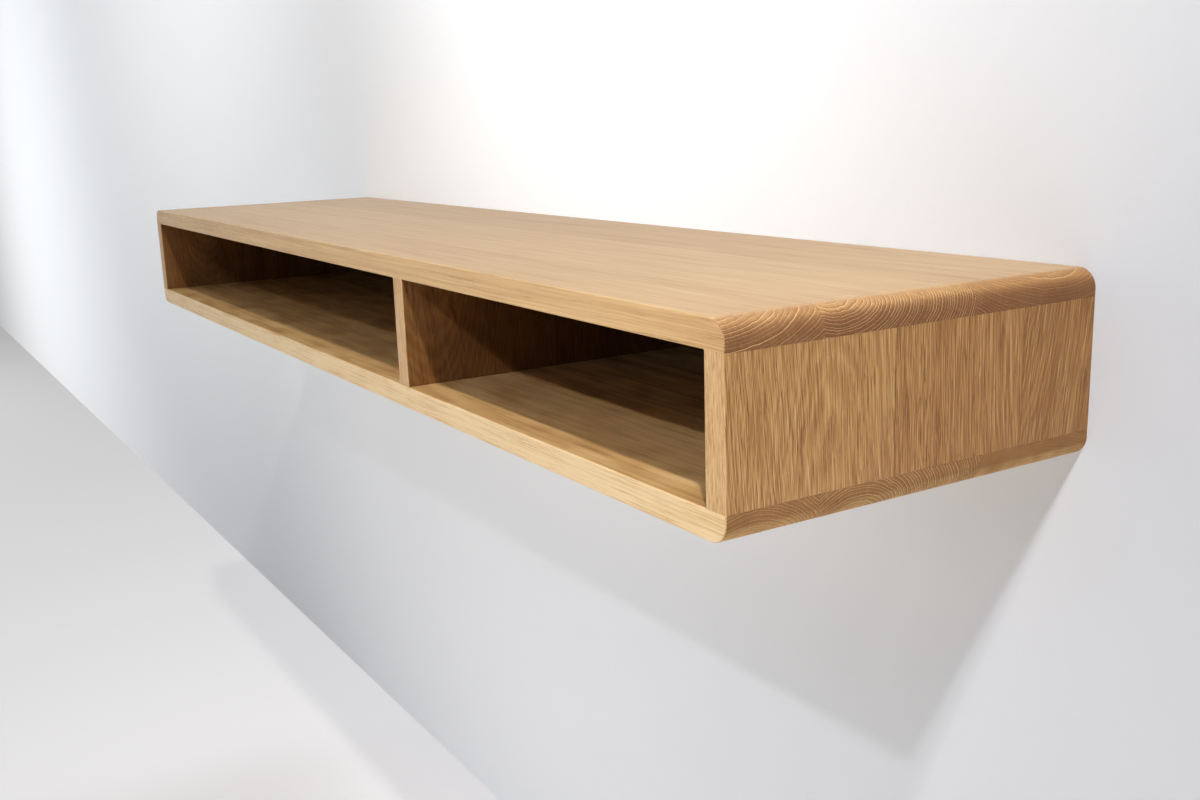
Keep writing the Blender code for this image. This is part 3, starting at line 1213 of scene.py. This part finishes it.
@dataclass
class Stage:
    """A pale wall behind the console and a floor below it.

    Attributes:
        floor_height: The floor's Z.
        reach: How far the wall and the floor reach from their middle.
        wall_gap: Space between the wall and the part's own wall plane.
        wall: The wall's paint.
        floor: The floor's paint.
    """

    floor_height: float = -0.78
    reach: float = 7.0
    wall_gap: float = 0.0005
    wall: PaintFinish = PaintFinish(
        "wall_paint",
        (0.585, 0.61, 0.64),
        glow=0.085,
        # Painted light: paler pools on the wall
        light_patches=(
            LightPatch((0.1, 0.0, 0.5), reach=0.9, lift=0.72),
            LightPatch((-1.3, 0.0, 0.9), reach=1.8, lift=0.50),
            LightPatch((-5.0, 0.0, 0.2), reach=5.0, lift=0.44),
            LightPatch((-0.2, 0.0, -0.6), reach=1.2, lift=0.30),
            LightPatch((5.0, 0.0, 0.4), reach=3.8, lift=0.60),
        ),
    )
    floor: PaintFinish = PaintFinish("floor_paint", (0.72, 0.72, 0.73), glow=0.34)

    def build(self) -> None:
        """Build the wall and the floor."""
        wall = self.sheet("backdrop_wall", self.wall.make())
        upright = Matrix.Translation((0, self.wall_gap, self.floor_height + self.reach))
        wall.data.transform(upright @ Matrix.Rotation(math.pi / 2, 4, "X"))
        for ray in ("diffuse", "glossy", "transmission", "shadow"):
            setattr(wall, f"visible_{ray}", False)
        floor = self.sheet("floor", self.floor.make())
        floor.data.transform(Matrix.Translation((0, 0, self.floor_height)))

    def sheet(self, name: str, finish: Material) -> Object:
        """Return a painted flat square round the origin that faces up."""
        shape = bmesh.new()
        bmesh.ops.create_grid(shape, x_segments=1, y_segments=1, size=self.reach)
        sheet = new_object(name, shape)
        dress(sheet, finish)
        return sheet


@dataclass(frozen=True)
class Lamp:
    """A flat soft light.

    Attributes:
        name: The lamp's name.
        place: Where it hangs.
        size: Its width and height.
        power: Its power in watts.
        colour: Its colour.
        aim: The point that it faces.
        spread: How wide its beam is, in degrees.
        sheen: Whether the wood's sheen shows it.
    """

    name: str
    place: Point
    size: tuple[float, float]
    power: float
    colour: Colour = WHITE
    aim: Point = (0.2, -0.15, 0.0)
    spread: float = 180.0
    sheen: bool = True

    def build(self) -> None:
        """Hang the lamp and turn it to its aim."""
        data = bpy.data.lights.new(self.name, "AREA")
        data.shape = "RECTANGLE"
        data.size, data.size_y = self.size
        data.energy = self.power
        data.color = self.colour
        data.spread = math.radians(self.spread)
        lamp = bpy.data.objects.new(self.name, data)
        lamp.visible_glossy = self.sheen
        lamp.location = self.place
        lamp.rotation_euler = (Vector(self.place) - Vector(self.aim)).to_track_quat("Z", "Y").to_euler()
        bpy.context.scene.collection.objects.link(lamp)


WARM: Colour = (1.02, 0.97, 0.91)
COOL: Colour = (0.94, 0.94, 1.05)
AMBER: Colour = (1.06, 0.95, 0.84)
BLUE: Colour = (0.80, 0.97, 1.25)


@dataclass
class Lighting:
    """Studio light: soft lamps round the console, and a weak even light from all sides.

    Attributes:
        ambient: How strong the even light is.
        sheen: How bright the surroundings look in the wood's sheen.
        lamps: The lamps.
    """

    ambient: float = 0.10
    sheen: float = 0.40
    lamps: tuple[Lamp, ...] = (
        Lamp("steep_lamp", (1.63, -0.92, 2.22), (0.10, 0.10), 16.5, WARM, (0.60, -0.2, 0.0), 125.0),
        Lamp("front_lamp", (1.48, -2.03, 1.62), (0.07, 0.07), 3.1, COOL, (0.65, -0.2, 0.0), 70.0),
        Lamp("left_lamp", (-0.87, -1.30, 2.30), (0.6, 0.6), 6.0, WARM),
        Lamp("top_fill", (-0.75, 0.55, 2.20), (0.6, 0.6), 18.0, COOL, (-0.3, -0.15, 0.07)),
        Lamp("bay_fill", (0.45, -2.40, 0.52), (0.5, 0.5), 0.36, BLUE, (0.43, -0.3, 0.01), 60.0, False),
        Lamp("right_fill", (2.10, -0.25, 1.45), (1.0, 1.0), 4.5),
        Lamp("left_fill", (-4.5, -2.5, 0.2), (2.0, 2.0), 60.0, aim=(-0.65, -0.15, 0.0), sheen=False),
        Lamp("rear_fill", (0.2, 2.80, 0.05), (2.0, 1.0), 26.0, aim=(0.2, 0.0, 0.0), sheen=False),
        Lamp("bounce", (0.80, -0.75, -0.74), (2.0, 0.6), 7.0, AMBER, (0.60, -0.45, 0.0), sheen=False),
    )

    def build(self) -> None:
        """Hang the lamps and light the surroundings."""
        for lamp in self.lamps:
            lamp.build()
        world = bpy.data.worlds.new("surroundings")
        world.use_nodes = True
        bpy.context.scene.world = world
        graph = Graph(world.node_tree)
        strength = graph.shown(self.sheen) * (1 - self.ambient) + self.ambient
        graph.feed(graph.tree.nodes["Background"], {"Color": rgba(WHITE), "Strength": strength})


@dataclass
class PhotoCamera:
    """The photograph's point of view.

    Attributes:
        place: Where the camera stands.
        heading: Turn to the left from looking straight at the wall, in degrees.
        pitch: Tilt above the horizon, in degrees.
        roll: Turn about the line of sight, in degrees.
        lens: Focal length in millimetres.
        sensor: Width of the frame in millimetres.
    """

    place: Point = (1.1789, -0.7151, 0.1838)
    heading: float = 58.326
    pitch: float = -12.840
    roll: float = -1.813
    lens: float = 37.143
    sensor: float = 36.0

    def build(self) -> None:
        """Create the camera and make it the scene's own."""
        data = bpy.data.cameras.new("photo_camera")
        data.sensor_width = self.sensor
        data.lens = self.lens
        camera = bpy.data.objects.new("photo_camera", data)
        turn = (
            Matrix.Rotation(math.radians(self.heading), 4, "Z")
            @ Matrix.Rotation(math.pi / 2 + math.radians(self.pitch), 4, "X")
            @ Matrix.Rotation(math.radians(self.roll), 4, "Z")
        )
        camera.matrix_world = Matrix.Translation(self.place) @ turn
        bpy.context.scene.collection.objects.link(camera)
        bpy.context.scene.camera = camera


def main() -> None:
    """Build the camera, the console, the stage and the light in order."""
    logging.basicConfig(level=logging.INFO, format="%(message)s")
    PhotoCamera().build()
    Case().build()
    Joinery().build()
    Stage().build()
    Lighting().build()
    bpy.context.scene.view_settings.view_transform = "Standard"


if __name__ == "__main__":
    main()
